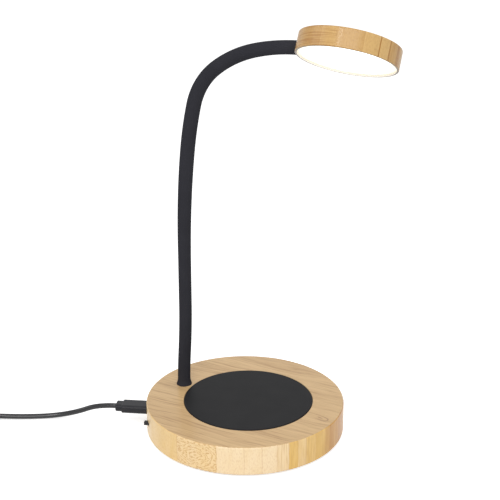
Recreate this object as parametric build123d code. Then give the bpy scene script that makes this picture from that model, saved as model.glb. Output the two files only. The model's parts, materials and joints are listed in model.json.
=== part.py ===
from build123d import *
import math
import os

os.makedirs("parts", exist_ok=True)

# A mug warmer with a lamp: a bamboo base with a heating plate, a bendable neck and a bamboo head.
# The origin is on the table under the middle of the base. +Z is up, and +X runs from the neck's foot
# across the plate to the lamp head. Lengths are in millimetres, angles in degrees.

# Fits that several pieces share
RUNNING_FIT = 0.05
SEAT_GAP = 0.1
CLEAR_GAP = 0.3
OVERRUN = 2.0

# Heating plate and what lies under it, from the top down
PLATE_DIAMETER = 78.0
PLATE_FORWARD = 2.2
PLATE_THICKNESS = 2.5
PLATE_PROUD = 0.4
PLATE_EDGE_ROUND = 0.6
GASKET_THICKNESS = 0.9
GASKET_WIDTH = 3.6
PLATE_LEDGE = 4.5
HEATER_THICKNESS = 0.4
HEATER_MARGIN = 2.0
SENSOR_DIAMETER = 5.0
SENSOR_HEIGHT = 2.2
RETAINER_THICKNESS = 1.0
RETAINER_OVERLAP = 3.0
RETAINER_HOLE_DIAMETER = 12.0
EAR_COUNT = 3
EAR_START = 30.0
EAR_WIDTH = 7.0
EAR_SCREW_INSET = 3.0
EAR_SCREW_LENGTH = 4.0

# Bamboo base, hollowed from below
PLATE_BORDER = 1.6
NECK_FOOT_DIAMETER = 9.6
NECK_TO_EDGE = 16.8
RIM_WALL = 5.5
COVER_LEDGE = 5.6
CEILING_THICKNESS = 6.0
BASE_EDGE_ROUND = 0.8

# Bottom cover, non-slip pad and ballast
COVER_THICKNESS = 2.5
COVER_SCREW_COUNT = 4
COVER_SCREW_START = 68.0
COVER_SCREW_LENGTH = 8.0
PAD_THICKNESS = 1.0
PAD_MARGIN = 4.0
PAD_GROOVE_COUNT = 3
PAD_GROOVE_WIDTH = 2.0
PAD_GROOVE_DEPTH = 0.5
BALLAST_THICKNESS = 3.0
BALLAST_MARGIN = 2.0

# Small screws, with pan heads
SCREW_DIAMETER = 2.2
SCREW_HEAD_DIAMETER = 4.2
SCREW_HEAD_HEIGHT = 1.4

# Control board at the side of the base. Its own axes: +X out through the port, +Y along the edge
PORT_ANGLE = 202.0
POCKET_WALL = 3.0
BOARD_LIFT = 2.7
BOARD_THICKNESS = 1.6
BOARD_DEPTH = 26.5
BOARD_LEFT = 8.5
BOARD_SCREW_INSET = 3.5
BOARD_POST_DIAMETER = 5.5
SOCKET_HEADROOM = 1.94
CHIP_SIZES = ((5.0, 6.0, 1.6), (6.2, 6.2, 2.8), (4.0, 5.0, 1.2), (4.0, 6.0, 3.0), (4.0, 6.0, 3.0))
CHIP_PLACE_SHARES = ((0.35, 0.38), (0.36, 0.64), (0.62, 0.3), (0.12, 0.4), (0.12, 0.6))

# USB socket and the plug that goes into it
SOCKET_WIDTH = 8.94
SOCKET_HEIGHT = 3.26
SOCKET_LENGTH = 7.35
SOCKET_WALL = 0.3
SOCKET_SETBACK = 0.8
TONGUE_WIDTH = 6.7
TONGUE_THICKNESS = 0.7
TONGUE_LENGTH = 4.5
PLUG_TIP_WALL = 0.25
PLUG_TIP_LENGTH = 6.2
PLUG_WIDTH = 10.6
PLUG_HEIGHT = 5.2
PLUG_LENGTH = 16.0
PLUG_CORNER = 1.9
PLUG_EDGE_ROUND = 0.5
COLLAR_WIDTH = 8.2
COLLAR_HEIGHT = 4.6
COLLAR_LENGTH = 4.0

# Slide switch beside the socket
SWITCH_OFFSET = 20.5
SWITCH_LENGTH = 6.6
SWITCH_DEPTH = 3.6
SWITCH_HEIGHT = 3.26
SWITCH_TRAVEL = 2.0
KNOB_WIDTH = 2.6
KNOB_HEIGHT = 2.0
KNOB_PROUD = 2.6
KNOB_ROUND = 0.2
LEVER_THICKNESS = 1.5
LEVER_ENGAGE = 1.6

# Neck: a fixed root and eight lengths that hinge on each other, as arcs in the XZ plane
NECK_LENGTHS = (22.0, 34.0, 34.0, 32.0, 30.0, 28.0, 28.0, 28.0, 28.0)
NECK_TURNS = (4.0, -4.0, 0.2, 2.9, 3.2, 6.7, 39.0, 22.5, 14.1)
SLEEVE_DIAMETER = 8.1
SLEEVE_BORE = 5.2
CORE_BORE = 2.6
NECK_FOOT_HEIGHT = 4.2
NECK_FOOT_EDGE = 0.6
NECK_FOOT_TOP_WALL = 0.9
BALL_MARGIN = 0.7
STUD_DIAMETER = 4.8
STUD_BORE = 2.6
FOOT_STUD_RISE = 8.0
FOOT_STUD_END = 0.6
WASHER_DIAMETER = 10.0
WASHER_THICKNESS = 1.0
NUT_ACROSS_FLATS = 8.0
NUT_THICKNESS = 4.0

# Lamp head: a bamboo cup that faces down and is rolled about the neck's end
HEAD_DIAMETER = 55.9
HEAD_HEIGHT = 11.0
HEAD_ROLL = 28.0
HEAD_EDGE_ROUND = 0.8
LIP_WIDTH = 1.2
LIP_EDGE_ROUND = 0.4
FACE_RECESS = 1.0
DIFFUSER_THICKNESS = 1.5
DIFFUSER_LEDGE = 3.2
CHAMBER_DEPTH = 4.2
BOSS_LENGTH = 14.0
BOSS_WIDTH = 11.0
HEAD_STUD_DIAMETER = 4.0
HEAD_STUD_BORE = 2.2
HEAD_STUD_REACH = 11.0
HEAD_STUD_ROOT = 6.0
STUD_GROOVE_WIDTH = 2.4
STUD_GROOVE_DEPTH = 0.5
STUD_GROOVE_INSET = 2.0
GRUB_DIAMETER = 2.0
LED_BOARD_THICKNESS = 1.0
LED_COUNT = 11
LED_CIRCLE_SHARE = 0.68
LED_LENGTH = 3.5
LED_WIDTH = 2.8
LED_HEIGHT = 0.8

# Lead: its route on the board's axes from the plug's collar to the coil, and the coil's loops
CORD_DIAMETER = 3.2
CORD_LEAD_OUT = 11.5
CORD_ARC_SHARE = 0.45
CORD_ROUTE = ((105.0, 1.2, 4.3), (120.0, 3.0, 1.7), (137.0, 6.0, 1.7))
CORD_LEAD_IN = 17.0
COIL_ENTRY = (172.0, 8.6)
COIL_INNER_RADIUS = 12.5
COIL_PITCH = 3.75
COIL_HALF_TURNS_IN = 7
COIL_HALF_TURNS_OUT = 6
COIL_TAIL = 20.0
TIE_THICKNESS = 0.6
TIE_WIDTH = 6.0
TIE_SLACK = 0.6
TIE_ANGLE = 45.0
TIE_ROUND = 2.0
HOST_PLUG_WIDTH = 15.6
HOST_PLUG_HEIGHT = 8.2
HOST_PLUG_LENGTH = 24.0
HOST_PLUG_CORNER = 2.5
HOST_SHELL_WIDTH = 12.0
HOST_SHELL_HEIGHT = 4.5
HOST_SHELL_LENGTH = 12.5
HOST_SHELL_WALL = 0.4
HOST_TONGUE_HEIGHT = 1.9

# Radii and levels worked out from the sizes above
NECK_X = PLATE_FORWARD - PLATE_DIAMETER / 2 - PLATE_BORDER - NECK_FOOT_DIAMETER / 2
BASE_RADIUS = NECK_TO_EDGE - NECK_X
REBATE_RADIUS = BASE_RADIUS - RIM_WALL
CAVITY_RADIUS = REBATE_RADIUS - COVER_LEDGE
RECESS_RADIUS = PLATE_DIAMETER / 2 + CLEAR_GAP
WINDOW_RADIUS = PLATE_DIAMETER / 2 - PLATE_LEDGE
HEATER_RADIUS = WINDOW_RADIUS - HEATER_MARGIN
RETAINER_RADIUS = WINDOW_RADIUS + RETAINER_OVERLAP
EAR_SCREW_RADIUS = RECESS_RADIUS + EAR_SCREW_INSET
COVER_SCREW_RADIUS = REBATE_RADIUS - COVER_LEDGE / 2
COVER_TOP = PAD_THICKNESS + COVER_THICKNESS
BOARD_BOTTOM = COVER_TOP + BOARD_LIFT
BOARD_TOP = BOARD_BOTTOM + BOARD_THICKNESS
PORT_HEIGHT = BOARD_TOP + SOCKET_HEIGHT / 2
CEILING = BOARD_TOP + SOCKET_HEIGHT + SOCKET_HEADROOM
BASE_TOP = CEILING + CEILING_THICKNESS
PLATE_TOP = BASE_TOP + PLATE_PROUD
PLATE_BOTTOM = PLATE_TOP - PLATE_THICKNESS
RECESS_FLOOR = PLATE_BOTTOM - GASKET_THICKNESS
HEATER_BOTTOM = PLATE_BOTTOM - HEATER_THICKNESS
RETAINER_BOTTOM = CEILING - RETAINER_THICKNESS
SCREW_HOLE_RADIUS = SCREW_DIAMETER / 2 + SEAT_GAP

STANDING = (Align.CENTER, Align.CENTER, Align.MIN)
HANGING = (Align.CENTER, Align.CENTER, Align.MAX)
PORT = Rot(0, 0, PORT_ANGLE)
PLATE = Pos(PLATE_FORWARD, 0, 0)
NECK = Pos(NECK_X, 0, 0)


def save(node, shape):
    export_step(shape, "parts/" + node + ".step")


def disc(radius, bottom, top):
    return Pos(0, 0, bottom) * Cylinder(radius, top - bottom, align=STANDING)


def ring(outer, inner, bottom, top):
    return disc(outer, bottom, top) - disc(inner, bottom - OVERRUN, top + OVERRUN)


def block(low, high):
    sizes = [b - a for a, b in zip(low, high)]
    return Pos(*low) * Box(*sizes, align=(Align.MIN, Align.MIN, Align.MIN))


def bar(width, height, corner, start, end):
    """A bar along +X with rounded long edges, centred on the X axis."""
    return extrude(Plane.YZ.offset(start) * RectangleRounded(width, height, corner), end - start)


def pan_screw(length):
    """A screw with its head's seat at the origin: the shank goes up, the head hangs below."""
    shank = Cylinder(SCREW_DIAMETER / 2, length, align=STANDING)
    head = Cylinder(SCREW_HEAD_DIAMETER / 2, SCREW_HEAD_HEIGHT, align=HANGING)
    rim = head.edges().filter_by(GeomType.CIRCLE).sort_by(Axis.Z)[0]
    return fillet(rim, SCREW_HEAD_HEIGHT / 2) + shank


def ears():
    return PolarLocations(EAR_SCREW_RADIUS, EAR_COUNT, EAR_START)


def cover_screw_places():
    return PolarLocations(COVER_SCREW_RADIUS, COVER_SCREW_COUNT, COVER_SCREW_START)


# Control board, on its own axes. Its outer edge follows the curve of the base
BOARD_EDGE_RADIUS = BASE_RADIUS - POCKET_WALL - CLEAR_GAP
BOARD_BACK = BOARD_EDGE_RADIUS - BOARD_DEPTH
BOARD_RIGHT = SWITCH_OFFSET + SWITCH_LENGTH / 2 + SWITCH_TRAVEL
board_outline = disc(BOARD_EDGE_RADIUS, BOARD_BOTTOM, BOARD_TOP) & block(
    (BOARD_BACK, -BOARD_LEFT, BOARD_BOTTOM), (BASE_RADIUS, BOARD_RIGHT, BOARD_TOP)
)
socket_to_switch = (SOCKET_WIDTH / 2 + SWITCH_OFFSET - SWITCH_LENGTH / 2) / 2
board_screw_spots = (
    (BOARD_BACK + BOARD_SCREW_INSET, BOARD_SCREW_INSET - BOARD_LEFT),
    (BOARD_BACK + BOARD_SCREW_INSET, BOARD_RIGHT - BOARD_SCREW_INSET),
    (BOARD_EDGE_RADIUS - 2 * BOARD_SCREW_INSET, socket_to_switch),
)
control_board = board_outline
for x, y in board_screw_spots:
    control_board -= Pos(x, y, BOARD_BOTTOM) * Cylinder(SCREW_HOLE_RADIUS, 2 * BOARD_THICKNESS)
board_screw = Rot(180, 0, 0) * pan_screw(BOARD_THICKNESS + BOARD_LIFT / 2)
board_screws = Compound([Pos(x, y, BOARD_TOP) * board_screw for x, y in board_screw_spots])

# Chips, coil, capacitor and wire headers on the board, as shares of its depth and width
BOARD_WIDTH = BOARD_LEFT + BOARD_RIGHT
chips = [
    Pos(BOARD_DEPTH * x, BOARD_WIDTH * y, 0) * Box(*size, align=STANDING)
    for size, (x, y) in zip(CHIP_SIZES, CHIP_PLACE_SHARES)
]
board_parts = Pos(BOARD_BACK, -BOARD_LEFT, BOARD_TOP) * Compound(chips)

# USB socket: a drawn steel shell with a contact tongue, its mouth just inside the base's side
SOCKET_MOUTH = BASE_RADIUS - SOCKET_SETBACK
SOCKET_BACK = SOCKET_MOUTH - SOCKET_LENGTH
socket_corner = SOCKET_HEIGHT / 2 - SEAT_GAP
inner_width = SOCKET_WIDTH - 2 * SOCKET_WALL
inner_height = SOCKET_HEIGHT - 2 * SOCKET_WALL
inner_corner = socket_corner - SOCKET_WALL
usb_socket = bar(SOCKET_WIDTH, SOCKET_HEIGHT, socket_corner, SOCKET_BACK, SOCKET_MOUTH)
usb_socket -= bar(inner_width, inner_height, inner_corner, SOCKET_BACK + SOCKET_WALL, SOCKET_MOUTH + OVERRUN)
usb_socket += Pos(SOCKET_BACK, 0, 0) * Box(
    TONGUE_LENGTH + SOCKET_WALL, TONGUE_WIDTH, TONGUE_THICKNESS, align=(Align.MIN, Align.CENTER, Align.CENTER)
)
usb_socket = Pos(0, 0, PORT_HEIGHT) * usb_socket

# Slide switch: a box with a slot along its front, and a lever with a square knob outside the wall
SWITCH_CORNER = SWITCH_OFFSET + SWITCH_LENGTH / 2
SWITCH_FRONT = math.sqrt(BOARD_EDGE_RADIUS**2 - SWITCH_CORNER**2) - CLEAR_GAP
KNOB_TIP = math.sqrt(BASE_RADIUS**2 - SWITCH_OFFSET**2) + KNOB_PROUD
KNOB_REST = SWITCH_OFFSET - SWITCH_TRAVEL / 2
LEVER_SLOT = LEVER_THICKNESS + SWITCH_TRAVEL + 2 * CLEAR_GAP
switch_body = Pos(SWITCH_FRONT, SWITCH_OFFSET, PORT_HEIGHT) * (
    Box(SWITCH_DEPTH, SWITCH_LENGTH, SWITCH_HEIGHT, align=(Align.MAX, Align.CENTER, Align.CENTER))
    - Box(2 * (LEVER_ENGAGE + CLEAR_GAP), LEVER_SLOT, LEVER_THICKNESS + 2 * CLEAR_GAP)
)
KNOB_LENGTH = 2 * KNOB_PROUD
knob_cap = bar(KNOB_WIDTH, KNOB_HEIGHT, KNOB_ROUND, KNOB_TIP - KNOB_LENGTH, KNOB_TIP)
knob_cap = fillet(knob_cap.faces().sort_by(Axis.X)[-1].edges(), KNOB_ROUND)
lever = bar(LEVER_THICKNESS, LEVER_THICKNESS, KNOB_ROUND, SWITCH_FRONT - LEVER_ENGAGE, KNOB_TIP - KNOB_PROUD)
switch_knob = Pos(0, KNOB_REST, PORT_HEIGHT) * (knob_cap + lever)

# Bamboo base: an outer disc less the recess, window, cavity, pocket and openings
KNOB_SLOT_WIDTH = KNOB_WIDTH + SWITCH_TRAVEL + 2 * CLEAR_GAP
KNOB_SLOT_HEIGHT = KNOB_HEIGHT + 2 * CLEAR_GAP
base_body = disc(BASE_RADIUS, PAD_THICKNESS, BASE_TOP)
base_body = fillet(base_body.edges().filter_by(GeomType.CIRCLE), BASE_EDGE_ROUND)
base_body -= disc(REBATE_RADIUS, 0, COVER_TOP)
base_body -= disc(CAVITY_RADIUS, 0, CEILING)
base_body -= PLATE * disc(WINDOW_RADIUS, 0, BASE_TOP + OVERRUN)
base_body -= PLATE * disc(RECESS_RADIUS, RECESS_FLOOR, BASE_TOP + OVERRUN)
base_body -= Pos(NECK_X, 0, BASE_TOP) * Cylinder(STUD_DIAMETER / 2 + SEAT_GAP, 2 * BASE_TOP)
board_pocket = disc(BASE_RADIUS - POCKET_WALL, 0, CEILING) & block(
    (0, -BOARD_LEFT - CLEAR_GAP, COVER_TOP - OVERRUN), (BASE_RADIUS, BOARD_RIGHT + CLEAR_GAP, CEILING)
)
base_body -= PORT * board_pocket
PORT_WIDTH = SOCKET_WIDTH + 2 * CLEAR_GAP
PORT_OPENING = SOCKET_HEIGHT + 2 * CLEAR_GAP
base_body -= PORT * Pos(BASE_RADIUS, 0, PORT_HEIGHT) * bar(
    PORT_WIDTH, PORT_OPENING, socket_corner, -POCKET_WALL - OVERRUN, OVERRUN
)
base_body -= PORT * Pos(BASE_RADIUS, SWITCH_OFFSET, PORT_HEIGHT) * bar(
    KNOB_SLOT_WIDTH, KNOB_SLOT_HEIGHT, KNOB_ROUND, SWITCH_FRONT - BASE_RADIUS, OVERRUN
)
for place in ears():
    base_body -= PLATE * place * Pos(0, 0, CEILING) * Cylinder(SCREW_HOLE_RADIUS, 2 * EAR_SCREW_LENGTH)
for place in cover_screw_places():
    base_body -= place * Pos(0, 0, COVER_TOP) * Cylinder(SCREW_HOLE_RADIUS, 2 * COVER_SCREW_LENGTH)

# Heating plate on its gasket, with the film heater and the sensor under it, on the plate's own axis
heating_plate = disc(PLATE_DIAMETER / 2, PLATE_BOTTOM, PLATE_TOP)
heating_plate = fillet(heating_plate.edges().sort_by(Axis.Z)[-1], PLATE_EDGE_ROUND)
gasket_radius = PLATE_DIAMETER / 2 - SEAT_GAP
plate_gasket = ring(gasket_radius, gasket_radius - GASKET_WIDTH, RECESS_FLOOR, PLATE_BOTTOM)
heater_film = disc(HEATER_RADIUS, HEATER_BOTTOM, PLATE_BOTTOM)
temperature_sensor = disc(SENSOR_DIAMETER / 2, HEATER_BOTTOM - SENSOR_HEIGHT, HEATER_BOTTOM)
insulation_pad = ring(HEATER_RADIUS, SENSOR_DIAMETER / 2 + CLEAR_GAP, CEILING, HEATER_BOTTOM)

# Retainer: a steel disc with three ears that holds the heater stack up against the plate
heater_retainer = disc(RETAINER_RADIUS, RETAINER_BOTTOM, CEILING)
for place in ears():
    arm = Pos(0, 0, RETAINER_BOTTOM) * Cylinder(EAR_WIDTH / 2, RETAINER_THICKNESS, align=STANDING)
    arm += Pos(0, 0, RETAINER_BOTTOM) * Box(
        EAR_SCREW_RADIUS - RETAINER_RADIUS + EAR_WIDTH / 2,
        EAR_WIDTH,
        RETAINER_THICKNESS,
        align=(Align.MAX, Align.CENTER, Align.MIN),
    )
    arm -= Pos(0, 0, RETAINER_BOTTOM) * Cylinder(SCREW_HOLE_RADIUS, 2 * RETAINER_THICKNESS + OVERRUN)
    heater_retainer += place * arm
heater_retainer -= disc(RETAINER_HOLE_DIAMETER / 2, 0, BASE_TOP)
ear_screw = Pos(0, 0, RETAINER_BOTTOM) * pan_screw(RETAINER_THICKNESS + EAR_SCREW_LENGTH - SEAT_GAP)
retainer_screws = Compound([place * ear_screw for place in ears()])

# Bottom cover with posts for the board, sunk screws, a steel ballast plate and the grooved pad
COVER_RADIUS = REBATE_RADIUS - SEAT_GAP
HEAD_SINK_RADIUS = SCREW_HEAD_DIAMETER / 2 + SEAT_GAP
HEAD_SINK_TOP = PAD_THICKNESS + SCREW_HEAD_HEIGHT
bottom_cover = disc(COVER_RADIUS, PAD_THICKNESS, COVER_TOP)
for x, y in board_screw_spots:
    post = Pos(x, y, COVER_TOP) * Cylinder(BOARD_POST_DIAMETER / 2, BOARD_LIFT, align=STANDING)
    post -= Pos(x, y, BOARD_BOTTOM) * Cylinder(SCREW_HOLE_RADIUS, BOARD_LIFT + 2 * SEAT_GAP)
    bottom_cover += PORT * post
for place in cover_screw_places():
    bottom_cover -= place * disc(SCREW_HOLE_RADIUS, 0, COVER_TOP + OVERRUN)
    bottom_cover -= place * disc(HEAD_SINK_RADIUS, 0, HEAD_SINK_TOP)
cover_screw = Pos(0, 0, HEAD_SINK_TOP) * pan_screw(COVER_SCREW_LENGTH)
cover_screws = Compound([place * cover_screw for place in cover_screw_places()])
ballast_radius = CAVITY_RADIUS - BALLAST_MARGIN
ballast_plate = PORT * (
    disc(ballast_radius, COVER_TOP, COVER_TOP + BALLAST_THICKNESS)
    - block((BOARD_BACK - BALLAST_MARGIN, -BASE_RADIUS, 0), (BASE_RADIUS, BASE_RADIUS, BASE_TOP))
)
PAD_RADIUS = REBATE_RADIUS - PAD_MARGIN
non_slip_pad = disc(PAD_RADIUS, 0, PAD_THICKNESS)
for step in range(1, PAD_GROOVE_COUNT + 1):
    groove = PAD_RADIUS * step / (PAD_GROOVE_COUNT + 1)
    edges = groove + PAD_GROOVE_WIDTH / 2, groove - PAD_GROOVE_WIDTH / 2
    non_slip_pad -= ring(*edges, -OVERRUN, PAD_GROOVE_DEPTH)

# Neck. Each length is an arc from one hinge's centre to the next, whose heading starts straight up
neck_starts = []
neck_x, neck_z, neck_heading = NECK_X, BASE_TOP, 0.0
LAST = len(NECK_LENGTHS) - 1


def neck_place(link, distance):
    """The point and heading, in radians from upright, at a distance along a length of the neck."""
    x, z, heading = neck_starts[link]
    rate = math.radians(NECK_TURNS[link]) / NECK_LENGTHS[link]
    if rate == 0:
        return x + distance * math.sin(heading), z + distance * math.cos(heading), heading
    later = heading + rate * distance
    x += (math.cos(heading) - math.cos(later)) / rate
    z += (math.sin(later) - math.sin(heading)) / rate
    return x, z, later


for link, length in enumerate(NECK_LENGTHS):
    neck_starts.append((neck_x, neck_z, neck_heading))
    neck_x, neck_z, neck_heading = neck_place(link, length)


def neck_point(link, distance):
    x, z, _ = neck_place(link, distance)
    return Vector(x, 0, z)


def neck_plane(link, distance):
    """A plane square to the neck, with its normal along it and its x axis to the side."""
    heading = neck_place(link, distance)[2]
    return Plane(neck_point(link, distance), (0, 1, 0), (math.sin(heading), 0, math.cos(heading)))


def neck_run(link, start, end):
    ends = neck_point(link, start), neck_point(link, end)
    if NECK_TURNS[link] == 0:
        return Line(*ends)
    return ThreePointArc(ends[0], neck_point(link, (start + end) / 2), ends[1])


BALL_RADIUS = SLEEVE_DIAMETER / 2 + BALL_MARGIN
SOCKET_RADIUS = BALL_RADIUS + CLEAR_GAP
CORE_DIAMETER = SLEEVE_BORE - 2 * SEAT_GAP


def neck_rod(link, diameter, start=0.0, end=None):
    """A round rod along one length of the neck, run on by the ball's radius into the next one."""
    runs = [neck_run(link, start, end or NECK_LENGTHS[link])]
    if link < LAST:
        runs.append(neck_run(link + 1, 0, BALL_RADIUS))
    return sweep(neck_plane(link, start) * Circle(diameter / 2), path=Wire(runs))


def ball_ends(piece, link):
    """Cuts a hollow seat at the start of a length and a ball at its end, both about the hinges."""
    if link > 0:
        piece -= neck_plane(link, 0) * Sphere(SOCKET_RADIUS)
    if link < LAST:
        spare = Cylinder(BALL_RADIUS + OVERRUN, BALL_RADIUS + OVERRUN, align=STANDING) - Sphere(BALL_RADIUS)
        piece -= neck_plane(link + 1, 0) * spare
    return piece


foot_profile = Polygon(
    (0, 0),
    (NECK_FOOT_DIAMETER / 2, 0),
    (NECK_FOOT_DIAMETER / 2, NECK_FOOT_EDGE),
    (SLEEVE_BORE / 2 + NECK_FOOT_TOP_WALL, NECK_FOOT_HEIGHT),
    (0, NECK_FOOT_HEIGHT),
    align=None,
)
neck_foot = revolve(Plane.XZ * foot_profile, Axis.Z)
neck_sleeves, neck_cores = [], []
for link in range(LAST + 1):
    outside = neck_rod(link, SLEEVE_DIAMETER)
    core_start, core_end = 0.0, NECK_LENGTHS[link]
    if link == 0:
        outside += NECK * Pos(0, 0, BASE_TOP) * neck_foot
        core_start = FOOT_STUD_RISE + CLEAR_GAP
    if link == LAST:
        core_end -= HEAD_STUD_ROOT + CLEAR_GAP
    neck_sleeves.append(ball_ends(outside - neck_rod(link, SLEEVE_BORE), link))
    core = neck_rod(link, CORE_DIAMETER, core_start, core_end)
    core -= neck_rod(link, CORE_BORE, core_start, core_end)
    neck_cores.append(ball_ends(core, link))

# Foot of the neck: a hollow stud through the base, with a washer and a nut under the ceiling
NUT_BOTTOM = CEILING - WASHER_THICKNESS - NUT_THICKNESS
neck_stud = ring(STUD_DIAMETER / 2, STUD_BORE / 2, NUT_BOTTOM - FOOT_STUD_END, BASE_TOP + FOOT_STUD_RISE)
neck_washer = ring(WASHER_DIAMETER / 2, STUD_DIAMETER / 2 + SEAT_GAP, CEILING - WASHER_THICKNESS, CEILING)
hexagon = RegularPolygon(NUT_ACROSS_FLATS / 2, 6, major_radius=False)
neck_nut = Pos(0, 0, NUT_BOTTOM) * extrude(hexagon, NUT_THICKNESS)
neck_nut -= disc(STUD_DIAMETER / 2 + SEAT_GAP, 0, BASE_TOP)

# Lamp head, on its own axes: +X away from the neck, +Z out of its back, origin in its middle
HEAD_RADIUS = HEAD_DIAMETER / 2
neck_end = neck_plane(LAST, NECK_LENGTHS[LAST])
neck_up = Vector(-math.cos(neck_heading), 0, math.sin(neck_heading))
head_up = neck_up * math.cos(math.radians(HEAD_ROLL)) + Vector(0, math.sin(math.radians(HEAD_ROLL)), 0)
HEAD = Plane(neck_end.origin + neck_end.z_dir * (HEAD_RADIUS + CLEAR_GAP), neck_end.z_dir, head_up)
FACE = -HEAD_HEIGHT / 2
DIFFUSER_TOP = FACE + FACE_RECESS + DIFFUSER_THICKNESS
CHAMBER_TOP = DIFFUSER_TOP + CHAMBER_DEPTH
SEAT_RADIUS = HEAD_RADIUS - LIP_WIDTH
CHAMBER_RADIUS = SEAT_RADIUS - DIFFUSER_LEDGE
BOSS_END = BOSS_LENGTH - HEAD_RADIUS
STUD_TIP = HEAD_STUD_REACH - HEAD_RADIUS


def boss(clearance):
    reach = BOSS_WIDTH / 2 + clearance
    return block((-HEAD_RADIUS, -reach, FACE), (BOSS_END + clearance, reach, -FACE))


head_shell = disc(HEAD_RADIUS, FACE, -FACE)
head_shell = fillet(head_shell.edges().sort_by(Axis.Z)[-1], HEAD_EDGE_ROUND)
head_shell = fillet(head_shell.edges().sort_by(Axis.Z)[0], LIP_EDGE_ROUND)
head_shell -= disc(SEAT_RADIUS, FACE - OVERRUN, DIFFUSER_TOP)
head_shell -= disc(CHAMBER_RADIUS, DIFFUSER_TOP - OVERRUN, CHAMBER_TOP) - boss(0)
head_shell -= Pos(-HEAD_RADIUS, 0, 0) * Rot(0, 90, 0) * Cylinder(
    HEAD_STUD_DIAMETER / 2 + RUNNING_FIT, 2 * (HEAD_STUD_REACH + CLEAR_GAP)
)
GROOVE_MIDDLE = STUD_TIP - STUD_GROOVE_INSET - STUD_GROOVE_WIDTH / 2
GRUB_TOP = -HEAD_STUD_DIAMETER / 2 + STUD_GROOVE_DEPTH - SEAT_GAP
head_shell -= Pos(GROOVE_MIDDLE, 0, 0) * disc(GRUB_DIAMETER / 2 + SEAT_GAP, FACE, -RUNNING_FIT)
head_grub_screw = Pos(GROOVE_MIDDLE, 0, 0) * disc(GRUB_DIAMETER / 2, DIFFUSER_TOP, GRUB_TOP)
led_board = disc(CHAMBER_RADIUS - SEAT_GAP, CHAMBER_TOP - LED_BOARD_THICKNESS, CHAMBER_TOP) - boss(CLEAR_GAP)
led_circle = CHAMBER_RADIUS * LED_CIRCLE_SHARE
led = Pos(0, 0, CHAMBER_TOP - LED_BOARD_THICKNESS) * Box(LED_WIDTH, LED_LENGTH, LED_HEIGHT, align=HANGING)
led_reach = math.hypot(LED_WIDTH, LED_LENGTH) / 2
led_first = math.degrees(math.asin((BOSS_WIDTH / 2 + CLEAR_GAP + led_reach) / led_circle)) - 180
led_places = PolarLocations(led_circle, LED_COUNT, led_first, -2 * led_first, endpoint=True)
leds = Compound([place * led for place in led_places])
diffuser = disc(SEAT_RADIUS - SEAT_GAP, FACE + FACE_RECESS, DIFFUSER_TOP)

# Stud at the neck's end: a wide root inside the sleeve and a grooved pin that the head turns on
ROOT_START = -HEAD_RADIUS - CLEAR_GAP - HEAD_STUD_ROOT
head_stud = disc(STUD_DIAMETER / 2, ROOT_START, -HEAD_RADIUS - CLEAR_GAP)
head_stud += disc(HEAD_STUD_DIAMETER / 2, ROOT_START, STUD_TIP)
head_stud -= ring(
    HEAD_STUD_DIAMETER,
    HEAD_STUD_DIAMETER / 2 - STUD_GROOVE_DEPTH,
    GROOVE_MIDDLE - STUD_GROOVE_WIDTH / 2,
    GROOVE_MIDDLE + STUD_GROOVE_WIDTH / 2,
)
head_stud -= disc(HEAD_STUD_BORE / 2, ROOT_START - OVERRUN, STUD_TIP + OVERRUN)
head_stud = Rot(0, 90, 0) * head_stud

# Plug of the lead: a steel tip in the socket, and a moulded body with a narrower collar
PLUG_START = BASE_RADIUS + SEAT_GAP
PLUG_END = PLUG_START + PLUG_LENGTH
CORD_START = PLUG_END + COLLAR_LENGTH
tip_width = inner_width - 2 * SEAT_GAP
tip_height = inner_height - 2 * SEAT_GAP
tip_corner = inner_corner - SEAT_GAP
usb_plug_tip = bar(tip_width, tip_height, tip_corner, PLUG_START - PLUG_TIP_LENGTH, PLUG_START)
usb_plug_tip -= bar(
    tip_width - 2 * PLUG_TIP_WALL,
    tip_height - 2 * PLUG_TIP_WALL,
    tip_corner - PLUG_TIP_WALL,
    PLUG_START - PLUG_TIP_LENGTH - OVERRUN,
    PLUG_START - PLUG_TIP_WALL,
)
plug_body = bar(PLUG_WIDTH, PLUG_HEIGHT, PLUG_CORNER, PLUG_START, PLUG_END)
plug_body = fillet(plug_body.faces().filter_by(Axis.X).edges(), PLUG_EDGE_ROUND)
collar = bar(COLLAR_WIDTH, COLLAR_HEIGHT, PLUG_CORNER, PLUG_END, CORD_START)
collar = fillet(collar.faces().sort_by(Axis.X)[-1].edges(), PLUG_EDGE_ROUND)
usb_plug = Pos(0, 0, PORT_HEIGHT) * (plug_body + collar)
usb_plug_tip = Pos(0, 0, PORT_HEIGHT) * usb_plug_tip

# Lead, first stretch: a tube from the collar, down to the table and along it to the coil
CORD_RADIUS = CORD_DIAMETER / 2
COIL_LOW = CORD_RADIUS + TIE_THICKNESS + CLEAR_GAP
COIL_HIGH = COIL_LOW + COIL_PITCH
cord_exit = Vector(CORD_START, 0, PORT_HEIGHT)
coil_entry = Vector(*COIL_ENTRY, COIL_LOW)
cord_points = [cord_exit, cord_exit + Vector(CORD_LEAD_OUT, 0, 0)]
cord_points += [*map(Vector, CORD_ROUTE), coil_entry - Vector(CORD_LEAD_IN, 0, 0), coil_entry]
cord_runs = [b - a for a, b in zip(cord_points, cord_points[1:])]
cord_radii = [
    CORD_ARC_SHARE * min(before.length, after.length) / math.tan(math.radians(before.get_angle(after)) / 2)
    for before, after in zip(cord_runs, cord_runs[1:])
]
cord_path = FilletPolyline(*cord_points, radius=cord_radii)


def tube(path):
    return sweep(Plane(path @ 0, z_dir=path % 0) * Circle(CORD_RADIUS), path=path)


lead_cord = tube(cord_path)
cord_section = math.pi * CORD_RADIUS**2
print("lead: radii", [round(radius, 1) for radius in cord_radii], "length", round(cord_path.length, 1))
print("lead: volume over section times length", lead_cord.volume / (cord_section * cord_path.length))


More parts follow.
